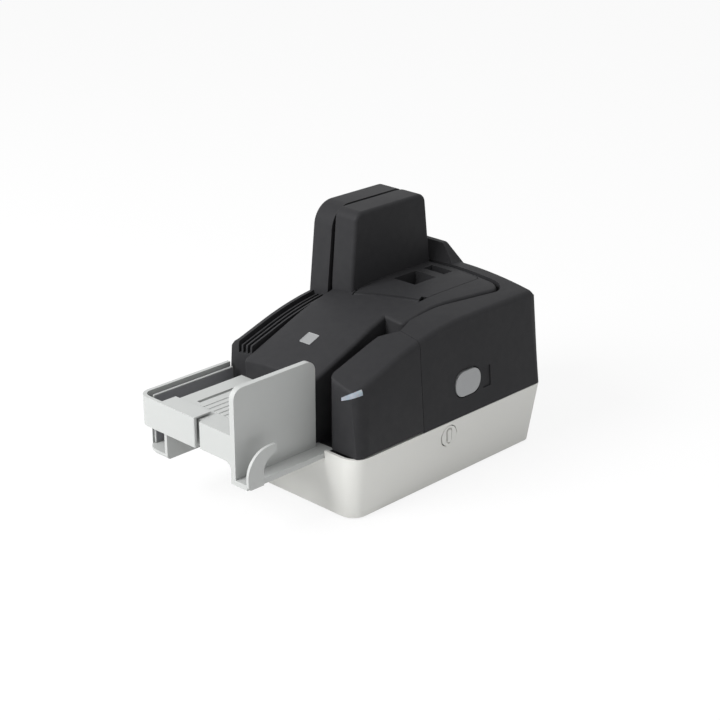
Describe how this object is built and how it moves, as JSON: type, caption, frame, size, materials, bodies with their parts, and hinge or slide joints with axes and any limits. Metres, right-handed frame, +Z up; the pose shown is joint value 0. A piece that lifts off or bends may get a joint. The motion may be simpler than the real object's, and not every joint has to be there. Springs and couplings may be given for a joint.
{
  "type": "cheque scanner",
  "caption": "Compact desktop cheque scanner with hinged black covers, an upright reader, a light grey base, a front hopper and an exit tray.",
  "frame": {"origin": "underside of the middle rubber foot, at the middle of the lower housing's footprint", "axes": "+X to the right, towards the hopper side; +Y to the rear; +Z up. The trays reach out along -Y"},
  "size_m": [0.15, 0.2848, 0.19],
  "materials": {
    "black_cover": "fine satin texture",
    "grey_housing": "fine satin texture",
    "grey_tray": "smooth satin",
    "dark_grey_panel": "satin",
    "black_inner": "matte",
    "silver_button": "satin silver paint",
    "clear_light": "clear and glossy",
    "rubber": "matte",
    "steel": "turned",
    "zinc": "zinc plated",
    "sensor_glass": "polished",
    "board_green": "solder mask",
    "white_plastic": "moulded acetal"
  },
  "bodies": {
    "chassis": {"lower_housing": "grey_housing", "rubber_feet": "rubber", "plate_screws": "zinc", "circuit_board": "board_green", "power_inlet": "black_inner", "data_socket": "zinc", "track_plate": "black_inner", "transport_hinge_pin": "steel", "reader_hinge_pin": "steel", "rear_post": "black_cover", "centre_cover": "black_cover", "lid_hinge_pin": "steel", "ink_cartridge": "black_inner", "inner_reader_housing": "black_cover", "inner_sensor_glass": "sensor_glass", "inner_image_sensor": "black_inner", "document_tray": "grey_tray", "exit_tray": "grey_tray", "exit_side_panel": "dark_grey_panel", "drive_belt": "rubber", "motor": "zinc"},
    "outer_reader": {"outer_reader_housing": "black_cover", "left_side_cover": "black_cover", "outer_sensor_glass": "sensor_glass", "outer_image_sensor": "black_inner", "reader_pinch_pins": "steel"},
    "feeder": {"feeder_cover": "black_cover", "status_light": "clear_light"},
    "transport": {"transport_cover": "black_cover", "magnetic_head": "steel", "transport_pinch_pins": "steel"},
    "lid": {"imprinter_lid": "black_cover"},
    "release": {"release_button": "silver_button"},
    "power": {"power_button": "grey_housing"},
    "stopper": {"document_stopper": "grey_tray"},
    "feed_drive": {"feed_roller": "rubber", "feed_shaft": "white_plastic"},
    "motor_drive": {"motor_pulley": "white_plastic"},
    "entrance_drive": {"entrance_drive_roller": "rubber", "entrance_drive_shaft": "white_plastic"},
    "entrance_pinch": {"entrance_pinch_roller": "white_plastic"},
    "rear_right_drive": {"rear_right_drive_roller": "rubber", "rear_right_drive_shaft": "white_plastic"},
    "rear_right_pinch": {"rear_right_pinch_roller": "white_plastic"},
    "rear_left_drive": {"rear_left_drive_roller": "rubber", "rear_left_drive_shaft": "white_plastic"},
    "rear_left_pinch": {"rear_left_pinch_roller": "white_plastic"},
    "reader_drive": {"reader_drive_roller": "rubber", "reader_drive_shaft": "white_plastic"},
    "reader_pinch": {"reader_pinch_roller": "white_plastic"},
    "exit_drive": {"exit_drive_roller": "rubber", "exit_drive_shaft": "white_plastic"},
    "exit_pinch": {"exit_pinch_roller": "white_plastic"}
  },
  "joints": [
    {"name": "motor_spin", "type": "hinge", "parent": "chassis", "child": "motor_drive", "pos_m": [-0.01, -0.07, 0.038], "axis": [0, 0, 1], "continuous": true},
    {"name": "feed_spin", "type": "hinge", "parent": "chassis", "child": "feed_drive", "pos_m": [0.0175, -0.066, 0.048], "axis": [0, 0, 1], "continuous": true},
    {"name": "entrance_drive_spin", "type": "hinge", "parent": "chassis", "child": "entrance_drive", "pos_m": [0.03635, -0.005, 0.048], "axis": [0, 0, 1], "continuous": true},
    {"name": "entrance_pinch_spin", "type": "hinge", "parent": "transport", "child": "entrance_pinch", "pos_m": [0.05065, -0.005, 0.048], "axis": [0, 0, 1], "continuous": true},
    {"name": "rear_right_drive_spin", "type": "hinge", "parent": "chassis", "child": "rear_right_drive", "pos_m": [0.031, 0.07635, 0.048], "axis": [0, 0, 1], "continuous": true},
    {"name": "rear_right_pinch_spin", "type": "hinge", "parent": "transport", "child": "rear_right_pinch", "pos_m": [0.031, 0.09065, 0.048], "axis": [0, 0, 1], "continuous": true},
    {"name": "rear_left_drive_spin", "type": "hinge", "parent": "chassis", "child": "rear_left_drive", "pos_m": [-0.0147, 0.07635, 0.048], "axis": [0, 0, 1], "continuous": true},
    {"name": "rear_left_pinch_spin", "type": "hinge", "parent": "transport", "child": "rear_left_pinch", "pos_m": [-0.0147, 0.09065, 0.048], "axis": [0, 0, 1], "continuous": true},
    {"name": "reader_drive_spin", "type": "hinge", "parent": "chassis", "child": "reader_drive", "pos_m": [-0.03885, 0.046, 0.048], "axis": [0, 0, 1], "continuous": true},
    {"name": "reader_pinch_spin", "type": "hinge", "parent": "outer_reader", "child": "reader_pinch", "pos_m": [-0.05315, 0.046, 0.048], "axis": [0, 0, 1], "continuous": true},
    {"name": "exit_drive_spin", "type": "hinge", "parent": "chassis", "child": "exit_drive", "pos_m": [-0.03885, -0.066, 0.048], "axis": [0, 0, 1], "continuous": true},
    {"name": "exit_pinch_spin", "type": "hinge", "parent": "outer_reader", "child": "exit_pinch", "pos_m": [-0.05315, -0.066, 0.048], "axis": [0, 0, 1], "continuous": true},
    {"name": "reader_swing", "type": "hinge", "parent": "chassis", "child": "outer_reader", "pos_m": [-0.069, 0.076, 0.05], "axis": [0, 0, -1], "range_deg": [0, 50]},
    {"name": "transport_swing", "type": "hinge", "parent": "chassis", "child": "transport", "pos_m": [-0.046, 0.097, 0.05], "axis": [0, 0, 1], "range_deg": [0, 55]},
    {"name": "feeder_tip", "type": "hinge", "parent": "chassis", "child": "feeder", "pos_m": [0.0725, -0.06715, 0.0529], "axis": [0, 1, 0], "range_deg": [0, 60]},
    {"name": "lid_lift", "type": "hinge", "parent": "chassis", "child": "lid", "pos_m": [0.00325, 0.00457, 0.12735], "axis": [0.9386, 0.343, 0.037], "range_deg": [0, 75]},
    {"name": "stopper_slide", "type": "slide", "parent": "chassis", "child": "stopper", "axis": [0, -1, 0], "range_m": [0, 0.045]},
    {"name": "release_press", "type": "slide", "parent": "transport", "child": "release", "axis": [-1, 0, 0], "range_m": [0, 0.0025], "stiffness_N_per_m": 800},
    {"name": "power_press", "type": "slide", "parent": "chassis", "child": "power", "axis": [-1, 0, 0], "range_m": [0, 0.0015], "stiffness_N_per_m": 800}
  ],
  "couplings": [
    {"joint": "feed_spin", "follows": "motor_spin", "ratio": 1},
    {"joint": "entrance_drive_spin", "follows": "motor_spin", "ratio": 1},
    {"joint": "rear_right_drive_spin", "follows": "motor_spin", "ratio": 1},
    {"joint": "rear_left_drive_spin", "follows": "motor_spin", "ratio": 1},
    {"joint": "reader_drive_spin", "follows": "motor_spin", "ratio": 1},
    {"joint": "exit_drive_spin", "follows": "motor_spin", "ratio": 1}
  ]
}
